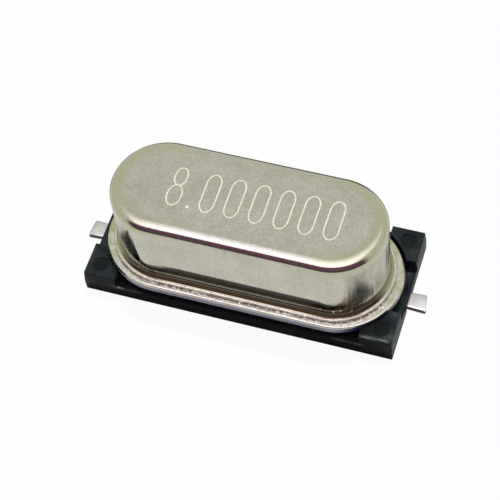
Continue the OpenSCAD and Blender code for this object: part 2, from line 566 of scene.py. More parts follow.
def slice_at(place, normal):
    select_all()
    bpy.ops.mesh.bisect(plane_co=place, plane_no=normal)


def tops_a_post(face):
    middle = middle_of(face)
    return face.normal.z > 0.9 and abs(middle.x) > post_x and abs(middle.y) > post_y


base = add_box("moulded_base", (-half_l, -half_w, 0), (half_l, half_w, floor_top))
edit(base)
for side in (-1, 1):
    slice_at((side * post_x, 0, 0), (1, 0, 0))
    slice_at((0, side * post_y, 0), (0, 1, 0))
posts = pick("FACE", tops_a_post)
extrude_by(0, 0, post_top - floor_top)
scale_about((0, 0, 0), (1 - draft_in / half_l, 1 - draft_in / half_w, 1))
leave_edit()
print("posts raised:", posts)

# %% Tools for the round gap and the seat
def add_track(name, radius, low, high):
    track = add_cylinder(name, radius, low, high, sides=190)
    edit(track)
    pull_apart(header_spine)
    return leave_edit()


def gap_tool(side):
    """Half of the round end of the gap, so that it only reaches the two posts on its side."""
    radius = header_r + post_gap
    tool = add_cylinder("gap_tool", radius, floor_top, can_top, side * header_spine / 2, sides=190)
    edit(tool)
    select_all()
    bpy.ops.mesh.bisect(
        plane_co=(side * (post_x - way_half), 0, 0), plane_no=(side, 0, 0),
        clear_inner=True, use_fill=True,
    )
    settle_normals()
    return leave_edit()


# %% Cut the gap, add the seat, soften the edges
for side in (-1, 1):
    cut(base, gap_tool(side))
add_to(base, add_track("seat", header_r - seat_in, floor_top / 2, seat_top))
edit(base)
select_all()
bpy.ops.mesh.dissolve_limited(angle_limit=math.radians(0.5))
leave_edit()
modify(base, "BEVEL", width=soft_edge, segments=3, limit_method="ANGLE",
       angle_limit=math.radians(30), use_clamp_overlap=False)
report(base)

# %% The ejector marks
marks = []
for x in (-mark_x, mark_x):
    for y in (-mark_y, mark_y):
        marks.append(add_cylinder("mark", mark_d / 2, post_top - mark_depth, can_top, x, y))
print("ejector marks:", len(marks))
cut(base, join(marks))


# %% The ways for the leads
def add_lead_way(side):
    """A slot up through the floor, with a low arm that runs out past the end of the base."""
    way = add_box("lead_way", (wire_x, -way_half, -MM), (slot_end, way_half, 2 * floor_top))
    edit(way)
    slice_at((0, 0, groove_top), (0, 0, 1))
    pick("FACE", lambda face: face.normal.x > 0.9 and middle_of(face).z < groove_top)
    extrude_by(half_l, 0, 0)
    if side < 0:
        select_all()
        scale_about((0, 0, 0), (-1, -1, 1))
        settle_normals()
    return leave_edit()


for side in (-1, 1):
    cut(base, add_cylinder("wire_way", wire_d / 2 + lead_play, -MM, 2 * floor_top, side * wire_x))
    cut(base, add_lead_way(side))
smooth(base)
report(base)

# %% [markdown]
# ## The leads
#
# A lead is one piece of round wire: a flat head inside the can, a straight run down
# through the glass, a bend, and a stretch that a press has made flat. It could be a curve
# with a round section, but no curve turns from round to flat, so it is modelled as the
# wire is worked. A circle is extruded down from the head, spun through the bend, extruded
# on, and its end loop is squeezed into the flat section before the last extrude.

# %% Sizes of a lead
head_r = lead_high.y
head_top = lead_high.z
head_t = 0.12 * MM
tip_x = lead_high.x
bend_z = wire_d / 2 + bend_r
tip_edge = 0.04 * MM
narrow_w = 0.62 * MM
burr = 0.035 * MM
tip_skew = 0.11 * MM
way_end = half_l - way_half
print(f"lead {head_top / MM:.2f} mm high, its tip {tip_x / MM:.2f} mm from the middle")

# %% Head, wire and bend
deselect_objects()
bpy.ops.mesh.primitive_circle_add(vertices=34, radius=head_r, location=(wire_x, 0, head_top))
lead_right = settle("tinned_lead_right")
edit(lead_right)
pick("VERT", lambda vertex: True)
extrude_by(0, 0, -head_t)
extrude_by(0, 0, 0)
neck = wire_d / 2 / head_r
scale_about((wire_x, 0, head_top - head_t), (neck, neck, 1))
extrude_by(0, 0, bend_z - head_top + head_t)
bpy.ops.mesh.spin(
    steps=14, angle=math.radians(90), center=(wire_x + bend_r, 0, bend_z), axis=(0, 1, 0)
)
count_points("head, wire and bend")

# %% The part that is pressed flat
def squeeze_to(thickness, width, x, height):
    shrink = thickness / wire_d
    scale_about((x, 0, height), (1, shrink, shrink))
    shift_by(0, 0, thickness / 2 - height)
    for side in (-1, 1):
        pick("VERT", lambda vertex: abs(vertex.co.x - x) < TINY and vertex.co.y * side > 0)
        shift_by(0, side * (width - thickness) / 2, 0)


extrude_by(coin_l, 0, 0)
squeeze_to(flat_t, narrow_w, slot_end, wire_d / 2)
pick("VERT", lambda vertex: abs(vertex.co.x - slot_end) < TINY)
extrude_by(way_end - slot_end, 0, 0)
extrude_by(tip_x - tip_edge - way_end, 0, 0)
scale_about((tip_x, 0, 0), (1, flat_w / narrow_w, 1))
count_points("lead without its tip")

# %% Its tip, and the two closing faces
extrude_by(tip_edge, 0, 0)
scale_about((tip_x, 0, flat_t / 2), (1, 1 - tip_edge / flat_w, 1 - tip_edge / flat_t))
pick("EDGE", lambda edge: edge.is_boundary and middle_of(edge).z < bend_z)
bpy.ops.mesh.edge_face_add()
close_opening(head_top)
settle_normals()
leave_edit()
report(lead_right)

# %% The left lead is a turned copy with its own mesh
only(lead_right)
bpy.ops.object.duplicate(linked=False)
lead_left = settle("tinned_lead_left")
edit(lead_left)
select_all()
scale_about((0, 0, 0), (-1, -1, 1))
settle_normals()
leave_edit()
report(lead_left)

# %% The press cuts the right tip askew, and leaves a small burr on the left one
def near_tip(side, test):
    return lambda vertex: vertex.co.x * side > tip_x - 2 * tip_edge - burr and test(vertex.co.y)


front_side = -flat_w / 2 + flat_t / 2 + TINY
for lead, side, back_off, skew in ((lead_left, -1, burr, 0), (lead_right, 1, 0, tip_skew)):
    edit(lead)
    pick("VERT", near_tip(side, lambda y: y > front_side))
    shift_by(-side * back_off, 0, 0)
    pick("VERT", near_tip(side, lambda y: y > 0))
    shift_by(-side * skew, 0, 0)
    leave_edit()
    smooth(lead, 40)
    report(lead)

# %% [markdown]
# ## Materials
#
# Every finish reads Object coordinates, counted in millimetres, so its grain has a true
# size and stays with the piece. The pieces could be unwrapped and given UV maps instead,
# but a drawn can has no flat pattern without stretch, and seams would show. Each finish
# starts from the Principled shader; noise moves the colour and the roughness a little, and
# a very low bump gives pits and grain.

# %% Start a material, and find the place on the piece in millimetres
def begin(name):
    material = bpy.data.materials.get(name) or bpy.data.materials.new(name)
    material.use_nodes = True
    tree = material.node_tree
    return material, tree, tree.nodes["Principled BSDF"]


def connect(tree, shader, tone, rough, normal):
    for name, output in (("Base Color", tone), ("Roughness", rough), ("Normal", normal)):
        tree.links.new(output, shader.inputs[name])


def describe(material):
    print(f"{material.name}: {len(material.node_tree.nodes)} nodes")


def millimetres(tree, stretch=(1, 1, 1)):
    place = tree.nodes.new("ShaderNodeTexCoord")
    scale = tree.nodes.new("ShaderNodeMapping")
    scale.inputs["Scale"].default_value = [factor / MM for factor in stretch]
    tree.links.new(place.outputs["Object"], scale.inputs["Vector"])
    return scale.outputs["Vector"]


def axes(tree, place):
    parts = tree.nodes.new("ShaderNodeSeparateXYZ")
    tree.links.new(place, parts.inputs["Vector"])
    return [parts.outputs[axis] for axis in "XYZ"]


# %% Noise, and what turns it into colours and numbers
def noise(tree, place, scale, detail=2.0, roughness=0.5):
    node = tree.nodes.new("ShaderNodeTexNoise")
    node.inputs["Scale"].default_value = scale
    node.inputs["Detail"].default_value = detail
    node.inputs["Roughness"].default_value = roughness
    tree.links.new(place, node.inputs["Vector"])
    return node.outputs["Fac"]


def ramp(tree, value, stops):
    node = tree.nodes.new("ShaderNodeValToRGB")
    marks = node.color_ramp.elements
    while len(marks) < len(stops):
        marks.new(0.5)
    for mark, (position, colour) in zip(marks, stops):
        mark.position = position
        mark.color = (*colour, 1)
    tree.links.new(value, node.inputs["Fac"])
    return node.outputs["Color"]


def spread(tree, value, low, high, to_low, to_high, smoothly=False):
    """Stretches the range from low to high over the range from to_low to to_high."""
    node = tree.nodes.new("ShaderNodeMapRange")
    if smoothly:
        node.interpolation_type = "SMOOTHSTEP"
    names = ("From Min", "From Max", "To Min", "To Max")
    for name, number in zip(names, (low, high, to_low, to_high)):
        node.inputs[name].default_value = number
    tree.links.new(value, node.inputs["Value"])
    return node.outputs["Result"]


# %% Bumps, and layers of colour
def bump(tree, height, depth, below=None):
    node = tree.nodes.new("ShaderNodeBump")
    node.inputs["Distance"].default_value = depth
    node.inputs["Strength"].default_value = 1.0
    tree.links.new(height, node.inputs["Height"])
    if below is not None:
        tree.links.new(below, node.inputs["Normal"])
    return node.outputs["Normal"]


def mix(tree, share, first, second):
    node = tree.nodes.new("ShaderNodeMix")
    node.data_type = "RGBA"
    tree.links.new(share, node.inputs["Factor"])
    for socket, colour in ((node.inputs["A"], first), (node.inputs["B"], second)):
        if isinstance(colour, tuple):
            socket.default_value = (*colour, 1)
        else:
            tree.links.new(colour, socket)
    return node.outputs["Result"]


def paint(tree, tone, layers):
    """Lays colours over a tone, one after the other; a layer is (share, colour)."""
    for share, colour in layers:
        tone = mix(tree, share, tone, colour)
    return tone


# %% Sums and products
def calc(tree, operation, first, second=0):
    node = tree.nodes.new("ShaderNodeMath")
    node.operation = operation
    for socket, value in zip(node.inputs, (first, second)):
        if isinstance(value, (int, float)):
            socket.default_value = value
        else:
            tree.links.new(value, socket)
    return node.outputs["Value"]


def product(tree, *values):
    total = values[0]
    for value in values[1:]:
        total = calc(tree, "MULTIPLY", total, value)
    return total


# %% Masks: a soft band, and the distance from the middle line of a track
def band(tree, value, low, high, soft):
    """Share of 1 where the value lies between low and high, with soft ends outside them."""
    rise = spread(tree, value, low - soft, low, 0, 1, True)
    fall = spread(tree, value, high, high + soft, 1, 0, True)
    return product(tree, rise, fall)


def from_spine(tree, x, y, spine):
    beyond = calc(tree, "SUBTRACT", calc(tree, "ABSOLUTE", x), spine / 2 / MM)
    beyond = calc(tree, "MAXIMUM", beyond, 0)
    squares = calc(tree, "ADD", calc(tree, "POWER", beyond, 2), calc(tree, "MULTIPLY", y, y))
    return calc(tree, "SQRT", squares)


# %% [markdown]
# ## Nickel plate
#
# Plated sheet is a bright metal with a satin skin, and welding leaves spatter along the weld.
# Other colours on it are painted light: olive patches on the soft edge, stronger towards the ends,
# are a painted reflection of the tent; the bend, the crease and the joint above the rim carry
# painted shade along the front, and the lip a painted highlight; the side of the header carries a
# painted lilac reflection, and a dark violet one at the front right; two brown patches with pale
# dots, low at the ends of the front wall, are painted shade with painted glints. The end walls are
# darker in streaks. A thin plum line along the front of the soft edge is a painted reflection of a
# dark strip of the room. With that strip in the room itself, the whole top would turn plum when it
# is seen from behind.
#
# The marks could be painted by hand on a map. Here each one is a mask of 0 to 1, made of
# bands of height and of distance from the middle line, so it follows the shape of the can.
# The masks say where, and the layers of colour, gloss and relief after them say what.

# %% Where the marks on the walls are; reach is the distance from the middle line
def wall_marks(tree, x, y, z, reach):
    """The soft edge and a thin line along its front, both for painted reflections, the end walls
    and the glossier foot.
    """
    wall_end = wall_r / MM
    along = calc(tree, "ABSOLUTE", x)
    return {
        "edge": product(
            tree,
            band(tree, reach, 1.5, 1.9, 0.3),
            band(tree, z, 3.9, 5, 0.2),
            spread(tree, along, 1.5, 4.2, 0.15, 1, True),
        ),
        # painted reflection: a dark strip of the room along the front of the soft edge
        "line": product(
            tree,
            band(tree, reach, 1.76, 1.95, 0.02),
            band(tree, z, 4.135, 4.185, 0.012),
            spread(tree, x, -3.85, -3.55, 0, 1, True),
            spread(tree, x, 4.34, 4.6, 1, 0, True),
            spread(tree, y, -0.85, -1.1, 0, 1, True),
        ),
        "ends": product(
            tree,
            spread(tree, along, 3.7, 4.2, 0, 1, True),
            band(tree, z, 1.5, 3.6, 0.25),
            band(tree, reach, wall_end - 0.02, wall_end + 0.1, 0.01),
        ),
        "foot": product(
            tree,
            spread(tree, along, 3.9, 3.3, 0, 1, True),
            band(tree, z, 1.2, 2.9, 0.4),
        ),
    }


# %% Where the painted shade at the corners of the foot is
def corner_shade_and_glints(tree, place, x, y, z, reach):
    """Two patches of painted shade low on the front wall, near its ends, with ragged borders."""
    wall_end = wall_r / MM
    left_corner = product(
        tree,
        spread(tree, x, -3.95, -3.75, 0, 1, True),
        spread(tree, x, -3.1, -2.4, 1, 0, True),
        spread(tree, y, -1.5, -1.7, 0, 1, True),
    )
    right_corner = product(
        tree,
        spread(tree, x, 2.3, 3.0, 0, 1, True),
        spread(tree, x, 4.55, 4.3, 0, 1, True),
        spread(tree, y, -0.9, -1.2, 0, 1, True),
    )
    return product(
        tree,
        band(tree, z, 1.45, 1.8, 0.16),
        calc(tree, "MAXIMUM", left_corner, right_corner),
        spread(tree, noise(tree, place, 2.6, 4, 0.65), 0.36, 0.52, 0.3, 1, True),
        band(tree, reach, wall_end - 0.05, wall_end + 0.02, 0.01),
    )


# %% Where the marks on the rim of the can are
def rim_marks(tree, place, y, z, reach):
    """The bend above the rim, its crease, the lip, the joint and the weld; the bend, crease and
    joint take painted shade along the front, the lip a painted highlight.
    """
    wall_end = wall_r / MM
    rim_end = can_rim_r / MM
    bend = product(
        tree,
        band(tree, reach, wall_end - 0.05, rim_end - rim_edge_r / MM - 0.03, 0.005),
        band(tree, z, 1.0, 1.6, 0.04),
    )
    return {
        "bend": bend,
        "crease": product(tree, bend, band(tree, z, 1.0, 1.325, 0.03)),
        "lip": product(
            tree,
            band(tree, reach, rim_end - 0.07, rim_end - 0.012, 0.01),
            band(tree, z, 1.235, 1.3, 0.02),
        ),
        "joint": product(
            tree,
            band(tree, reach, rim_end - 0.005, rim_end + 0.02, 0.01),
            band(tree, z, 1.0, 1.16, 0.04),
        ),
        "weld": product(
            tree,
            band(tree, reach, rim_end - 0.01, rim_end + 0.04, 0.02),
            band(tree, z, 1.0, 1.24, 0.02),
            spread(tree, noise(tree, place, 0.55, 2), 0.4, 0.6, 0.1, 0.7, True),
            spread(tree, y, 0.6, -0.8, 0.2, 1, True),
        ),
        "seam": product(
            tree,
            band(tree, reach, rim_end - 0.02, rim_end + 0.03, 0.03),
            band(tree, z, 1.0, 1.25, 0.05),
        ),
    }


# %% Where the marks on the header are
def header_marks(tree, x, y, z, reach, slant):
    """Its blotched flat ring, its outer side, and a patch low on its front beside the right lead,
    where a dark violet reflection is painted.
    """
    wall_end = wall_r / MM
    return {
        "ring": product(
            tree,
            band(tree, reach, wall_end + 0.1, 3, 0.03),
            band(tree, z, 0.5, 1.35, 0.03),
            spread(tree, slant, -1.5, -0.5, 0, 1, True),
        ),
        "side": product(tree, band(tree, reach, 2.24, 3, 0.04), band(tree, z, 0.5, 0.96, 0.04)),
        # where a dark violet reflection is painted
        "violet_reflection": product(
            tree,
            band(tree, reach, 2.22, 3, 0.04),
            band(tree, z, 0.5, 0.94, 0.06),
            spread(tree, x, 3.5, 4.3, 0, 0.95, True),
            spread(tree, y, -0.3, -1.2, 0, 1, True),
        ),
    }


# %% All marks together
def nickel_marks(tree, place):
    x, y, z = axes(tree, place)
    reach = from_spine(tree, x, y, can_spine)
    slant = calc(tree, "SUBTRACT", y, calc(tree, "MULTIPLY", x, 0.1))
    return {
        "front": spread(tree, slant, -1.5, -0.5, 1, 0.1, True),
        "corner": corner_shade_and_glints(tree, place, x, y, z, reach),
        **wall_marks(tree, x, y, z, reach),
        **rim_marks(tree, place, y, z, reach),
        **header_marks(tree, x, y, z, reach, slant),
    }


# %% Colours of the plate: the sheet itself, with its specks, streaks and pits, darker end walls and painted reflections on the soft edge
speck_grey = (0.3, 0.3, 0.22)
streak_grey = (0.3, 0.27, 0.2)
bright_pit = (0.85, 0.84, 0.76)
dark_pit = (0.25, 0.24, 0.19)
# Darker streaks on the end walls
end_streak_colour = (0.26, 0.23, 0.15)
# Painted reflection: olive of the tent on the soft edge, stronger towards the ends
edge_reflection_olive = (0.5, 0.5, 0.31)
# Painted reflection: a dark plum strip of the room, along the front of the soft edge
reflection_line_plum = (0.15, 0.066, 0.1)


def sheet_tone(tree, place, dark, light, marks):
    clouds = noise(tree, place, 1.3, 3, 0.6)
    specks = noise(tree, place, 11, 2, 0.7)
    pits = noise(tree, place, 23, 1, 0.5)
    streaks = noise(tree, millimetres(tree, (3.5, 3.5, 0.35)), 1, 3, 0.6)
    # the end walls are darker in streaks
    end_streaks = product(tree, marks["ends"], spread(tree, streaks, 0.35, 0.7, 0.4, 0))
    patches = product(tree, marks["edge"], spread(tree, clouds, 0.35, 0.6, 0.3, 0.85))
    return paint(tree, ramp(tree, clouds, [(0.3, dark), (0.7, light)]), (
        (spread(tree, specks, 0.36, 0.62, 0.27, 0), speck_grey),
        (spread(tree, streaks, 0.35, 0.65, 0.14, 0), streak_grey),
        (spread(tree, pits, 0.62, 0.68, 0, 0.4), bright_pit),
        (spread(tree, pits, 0.37, 0.31, 0, 0.35), dark_pit),
        (end_streaks, end_streak_colour),
        # painted reflection: olive patches on the soft edge
        (patches, edge_reflection_olive),
        # painted reflection: the plum line along the front of the soft edge
        (marks["line"], reflection_line_plum),
    ))


# %% Colours of the plate: the rim, the weld and the side of the header
# Painted shade along the front of the bend, the crease and the joint
bend_shade_grey = (0.16, 0.152, 0.118)
crease_shade_brown = (0.035, 0.021, 0.01)
joint_shade_brown = (0.3, 0.25, 0.21)
# Painted highlight on the lip of the can
lip_highlight_cream = (0.76, 0.69, 0.55)
# Painted reflection of the tent on the side of the header, lilac all round
side_reflection_lilac = (0.56, 0.52, 0.7)
spatter_white = (1, 0.98, 0.9)
spatter_brown = (0.2, 0.15, 0.11)
# Painted reflection: dark violet low on the front right of the header
violet_reflection_colour = (0.07, 0.035, 0.16)


def rim_tone(tree, tone, marks):
    sparks = noise(tree, millimetres(tree, (6, 12, 12)), 1, 2, 0.6)
    return paint(tree, tone, (
        # painted shade along the front of the bend, the crease and the joint
        (product(tree, marks["bend"], marks["front"]), bend_shade_grey),
        (product(tree, marks["crease"], marks["front"]), crease_shade_brown),
        (product(tree, marks["joint"], marks["front"]), joint_shade_brown),
        # painted highlight on the lip
        (marks["lip"], lip_highlight_cream),
        # painted reflection: lilac on the side of the header
        (spread(tree, marks["side"], 0, 1, 0, 0.7), side_reflection_lilac),
        (product(tree, marks["weld"], spread(tree, sparks, 0.5, 0.6, 0, 1)), spatter_white),
        (product(tree, marks["weld"], spread(tree, sparks, 0.46, 0.36, 0, 0.8)), spatter_brown),
        # painted reflection: dark violet low on the front right of the header
        (marks["violet_reflection"], violet_reflection_colour),
    ))


# %% Colours of the plate: painted shade and glints at the corners, and olive on the bend and the ring
# Painted shade and painted glints at the corners of the foot
corner_shade_brown = (0.085, 0.064, 0.042)
corner_glint_cream = (0.95, 0.93, 0.75)
bend_olive = (0.3, 0.29, 0.17)
ring_olive = (0.42, 0.43, 0.23)


def corner_shade_and_olive_tone(tree, tone, place, marks):
    dots = spread(tree, noise(tree, place, 7, 1, 0.5), 0.67, 0.7, 0, 1)
    away = spread(tree, marks["front"], 0.2, 1, 0.75, 0)
    blotches = spread(tree, noise(tree, place, 1.9, 3, 0.65), 0.42, 0.6, 0, 0.85)
    return paint(tree, tone, (
        # painted shade at the corners of the foot, with painted glints in it
        (marks["corner"], corner_shade_brown),
        (product(tree, marks["corner"], dots), corner_glint_cream),
        (product(tree, marks["bend"], away), bend_olive),
        (product(tree, marks["ring"], blotches), ring_olive),
    ))


# %% Gloss and relief of the plate
dulled_by = {"seam": 0.3, "bend": 0.35, "ends": 0.14, "ring": 0.12, "side": 0.3}
grain_depth = 0.003 * MM
ripple_depth = 0.035 * MM
blister_depth = 0.055 * MM


def nickel_roughness(tree, place, marks, low, high):
    rough = spread(tree, noise(tree, place, 3, 4), 0.3, 0.7, low, high)
    for mark, more in dulled_by.items():
        rough = calc(tree, "ADD", rough, spread(tree, marks[mark], 0, 1, 0, more))
    return product(tree, rough, spread(tree, marks["foot"], 0, 1, 1, 0.4))


def nickel_relief(tree, place, marks):
    """Fine drawn grain, less at the foot; ripples on the end walls; blisters on the weld."""
    grain = noise(tree, millimetres(tree, (8, 8, 0.6)), 1, 3, 0.6)
    grain = product(tree, grain, spread(tree, marks["foot"], 0, 1, 1, 0.3))
    ripples = noise(tree, millimetres(tree, (3.5, 3.5, 0.3)), 1, 2, 0.6)
    ripples = product(tree, ripples, marks["ends"])
    blisters = product(tree, noise(tree, place, 9, 3, 0.7), marks["seam"])
    normal = bump(tree, grain, grain_depth)
    normal = bump(tree, ripples, ripple_depth, normal)
    return bump(tree, blisters, blister_depth, normal)


# %% The material, once for the can and once for the paler, duller header
def nickel(name, dark, light, rough_low, rough_high):
    material, tree, shader = begin(name)
    place = millimetres(tree)
    marks = nickel_marks(tree, place)
    tone = sheet_tone(tree, place, dark, light, marks)
    tone = rim_tone(tree, tone, marks)
    tone = corner_shade_and_olive_tone(tree, tone, place, marks)
    rough = nickel_roughness(tree, place, marks, rough_low, rough_high)
    connect(tree, shader, tone, rough, nickel_relief(tree, place, marks))
    shader.inputs["Metallic"].default_value = 1.0
    describe(material)


nickel("can_metal", (0.575, 0.57, 0.47), (0.68, 0.67, 0.575), 0.08, 0.13)
nickel("header_metal", (0.68, 0.67, 0.54), (0.76, 0.75, 0.61), 0.2, 0.3)

# %% [markdown]
# ## The burnt line of the figures
#
# The laser melts the plate, which sets again with a pale dull skin. A brighter metal would
# mirror the room as the top does and vanish in some views, so the line is not metallic at
# all: a cream colour that is rough, and so shows the same from every side.

# %% Burnt line
line_dark = (0.72, 0.71, 0.55)
line_light = (0.86, 0.85, 0.7)
burnt_line, tree, shader = begin("laser_line")
skin = ramp(tree, noise(tree, millimetres(tree), 8, 2), [(0.3, line_dark), (0.7, line_light)])
tree.links.new(skin, shader.inputs["Base Color"])
shader.inputs["Roughness"].default_value = 0.7
describe(burnt_line)

# %% [markdown]
# ## Black plastic
#
# The base is a black plastic, a little blue, with a cloudy skin and a fine grain. It could be one
# dark colour, but light is painted on it: one post has a scratched front edge that is lightened as
# a painted highlight, the ledge beside each front post has a short painted highlight, and the
# front face is lighter, as painted light bounced up from the paper. The ejector marks are darker
# than the skin round them. The specular level is one low constant, and not a pattern, because a
# model that is carried to another program keeps no pattern of it.

# %% Where the plastic gets painted highlights, and where the ejector pins pressed
def painted_edge_highlights(tree, x, y, z):
    """Painted highlights: the scratched front edge of one post, and a short line of the ledge
    beside each front post.
    """
    scrape = noise(tree, millimetres(tree, (1.5, 9, 9)), 1, 3, 0.7)
    post = product(
        tree,
        spread(tree, scrape, 0.42, 0.62, 0, 1),
        band(tree, x, 4.6, 5.5, 0.15),
        band(tree, y, -2.4, -2.28, 0.08),
        band(tree, z, post_top / MM - 0.02, 2, 0.02),
    )
    ledge = product(
        tree,
        band(tree, calc(tree, "ABSOLUTE", x), 3.7, 4.5, 0.3),
        band(tree, y, -2.4, -2.34, 0.03),
        band(tree, z, floor_top / MM - 0.03, 0.6, 0.02),
    )
    return calc(tree, "MAXIMUM", spread(tree, post, 0, 1, 0, 0.5), ledge)


def on_mark(tree, x, y):
    """Most of 1 on the round ejector marks, and 0 elsewhere."""
    squares = []
    for value, middle in ((x, mark_x), (y, mark_y)):
        away = calc(tree, "SUBTRACT", calc(tree, "ABSOLUTE", value), middle / MM)
        squares.append(product(tree, away, away))
    away = calc(tree, "SQRT", calc(tree, "ADD", *squares))
    mark_end = mark_d / 2 / MM
    return spread(tree, away, mark_end, mark_end - 0.05, 0, 0.7, True)


# %% Plastic
plastic_dark = (0.007, 0.0095, 0.0105)
plastic_middle = (0.021, 0.0275, 0.029)
plastic_light = (0.065, 0.077, 0.076)
mark_black = (0.001, 0.0015, 0.0015)
# Painted light: the front face is lighter, as if lit by light bounced from the paper
front_face_bounce_grey = (0.05, 0.05, 0.046)
# Painted highlights on the scratched front edge of one post and on the ledge
edge_highlight_grey = (0.4, 0.42, 0.42)
plastic_grain = 0.006 * MM
base_front = -half_w / MM

plastic, tree, shader = begin("base_plastic")
place = millimetres(tree)
x, y, z = axes(tree, place)
clouds = noise(tree, place, 1.1, 5, 0.62)
skin = ramp(tree, clouds, [(0.38, plastic_dark), (0.56, plastic_middle), (0.72, plastic_light)])
tone = paint(tree, skin, (
    (on_mark(tree, x, y), mark_black),
    # painted light on the front face, bounced from the paper
    (spread(tree, y, base_front + 0.012, base_front + 0.002, 0, 0.9), front_face_bounce_grey),
    # painted highlights on a post edge and on the ledge
    (painted_edge_highlights(tree, x, y, z), edge_highlight_grey),
))
rough = spread(tree, noise(tree, place, 5, 5), 0.3, 0.7, 0.34, 0.55)
grain = bump(tree, noise(tree, place, 14, 3), plastic_grain)
connect(tree, shader, tone, rough, grain)
shader.inputs["Specular IOR Level"].default_value = 0.14
base.data.materials.clear()
base.data.materials.append(plastic)
describe(plastic)

# %% [markdown]
# ## Tin on the leads
#
# The wire is tinned before it is pressed and cut, so its flats are bright and its cut
# edges show bare dark metal. One material with a mask could do both, but the cut faces are
# real faces, so they are picked by their normals and given a material of their own. Fine
# lines across the wire are what the press leaves on the tin.

# %% The tinned skin, and the bare metal
# Painted shade for the back side of the leads
lead_back_shade = (0.35, 0.35, 0.32)
lead_grain = 0.006 * MM


def tin(name, dark, light, rough_low, rough_high):
    material, tree, shader = begin(name)
    place = millimetres(tree)
    y = axes(tree, place)[1]
    skin = ramp(tree, noise(tree, place, 3, 4), [(0.3, dark), (0.7, light)])
    # Painted shade: the skin darkens towards the back side of the lead
    tone = mix(tree, spread(tree, y, -0.1, 0.25, 0, 0.35, True), skin, lead_back_shade)
    rough = spread(tree, noise(tree, place, 6, 3), 0.3, 0.7, rough_low, rough_high)
    pressed = noise(tree, millimetres(tree, (14, 1.5, 14)), 1, 3)
    connect(tree, shader, tone, rough, bump(tree, pressed, lead_grain))
    shader.inputs["Metallic"].default_value = 1.0
    describe(material)
    return material


tin_finish = tin("lead_tin", (0.66, 0.66, 0.62), (0.84, 0.84, 0.8), 0.25, 0.45)
bare_finish = tin("lead_cut", (0.05, 0.05, 0.045), (0.13, 0.125, 0.11), 0.4, 0.55)


# %% Give the cut faces the bare metal
def is_cut(face):
    outside = abs(middle_of(face).x) > way_end
    return outside and (abs(face.normal.y) > 0.6 or abs(face.normal.x) > 0.6)


for lead in (lead_left, lead_right):
    lead.data.materials.append(tin_finish)
    lead.data.materials.append(bare_finish)
    lead.active_material_index = 1
    edit(lead)
    cut_faces = pick("FACE", is_cut)
    bpy.ops.object.material_slot_assign()
    leave_edit()
    print(lead.name, "bare faces:", cut_faces)

# %% [markdown]
# ## The pieces inside
#
# Under the can are two glass seals, two spring strips, an oblong quartz plate with silver
# films on both faces, and dots of silver-filled glue. Their solids have the right
# shape already, so they stay, and only get a finish. Five materials could be written out,
# but they differ in numbers and not in nodes, so one function makes them all.

# %% One function for the plain finishes
def plain_finish(name, dark, light, rough_low, rough_high, metallic, scale, depth):
    material, tree, shader = begin(name)
    place = millimetres(tree)
    tone = ramp(tree, noise(tree, place, scale, 3), [(0.3, dark), (0.7, light)])
    rough = spread(tree, noise(tree, place, 2 * scale, 3), 0.3, 0.7, rough_low, rough_high)
    grain = bump(tree, noise(tree, place, 4 * scale, 3), depth)
    connect(tree, shader, tone, rough, grain)
    shader.inputs["Metallic"].default_value = metallic
    describe(material)
    return material, shader


# %% Glass and quartz, which light goes through
glass, shader = plain_finish(
    "seal_glass", (0.05, 0.12, 0.1), (0.08, 0.17, 0.14), 0.04, 0.09, 0.0, 3, 0.001 * MM
)
shader.inputs["Transmission Weight"].default_value = 0.6
shader.inputs["IOR"].default_value = 1.52
quartz, shader = plain_finish(
    "blank_quartz", (0.88, 0.93, 0.95), (0.95, 0.98, 1.0), 0.1, 0.22, 0.0, 5, 0.001 * MM
)
shader.inputs["Transmission Weight"].default_value = 0.9
shader.inputs["IOR"].default_value = 1.54

# %% Spring strip, silver film and silver glue
strip, shader = plain_finish(
    "clip_strip", (0.6, 0.52, 0.36), (0.7, 0.62, 0.46), 0.22, 0.34, 1.0, 4, 0.001 * MM
)
film, shader = plain_finish(
    "silver_film", (0.8, 0.79, 0.76), (0.9, 0.89, 0.86), 0.12, 0.2, 1.0, 6, 0.0005 * MM
)
glue, shader = plain_finish(
    "silver_glue", (0.34, 0.34, 0.35), (0.5, 0.5, 0.51), 0.45, 0.6, 0.6, 6, 0.004 * MM
)


# %% Dress the solids
def dress(node, material):
    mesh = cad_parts[node].data
    mesh.materials.clear()
    mesh.materials.append(material)
    print(node, "is now", material.name)


for side in ("left", "right"):
    dress(f"glass_seal_{side}", glass)
    dress(f"spring_clip_{side}", strip)
    dress(f"adhesive_dot_{side}", glue)
dress("quartz_blank", quartz)
dress("electrode_top", film)
dress("electrode_bottom", film)

# %% [markdown]
# ## The floor
#
# The unit stands on a sheet of white paper. A bright metal has hardly any colour of its own: it
# shows what lies around it, so the paper matters as much as the plate. The sheet could be lit
# until it is white, but that much light would bleach the unit. Instead the Light Path node makes
# the paper glow for the camera, while the metal sees the paper with painted shade: darker in front
# and behind, as a small sheet in a dark room looks, and a brown painted shadow of the unit at the
# foot.

# %% The sheet, and the places where the metal sees it darker
deselect_objects()
bpy.ops.mesh.primitive_plane_add(size=3.0)
floor = settle("studio_floor")
print(f"{floor.name}: {floor.dimensions.x:.1f} m wide")
paper_finish, tree, shader = begin("floor_paper")
place = millimetres(tree)
x, y, z = axes(tree, place)
away = tree.nodes.new("ShaderNodeVectorMath")
away.operation = "LENGTH"
tree.links.new(place, away.inputs[0])
radius = away.outputs["Value"]
sideways = calc(tree, "DIVIDE", x, radius)
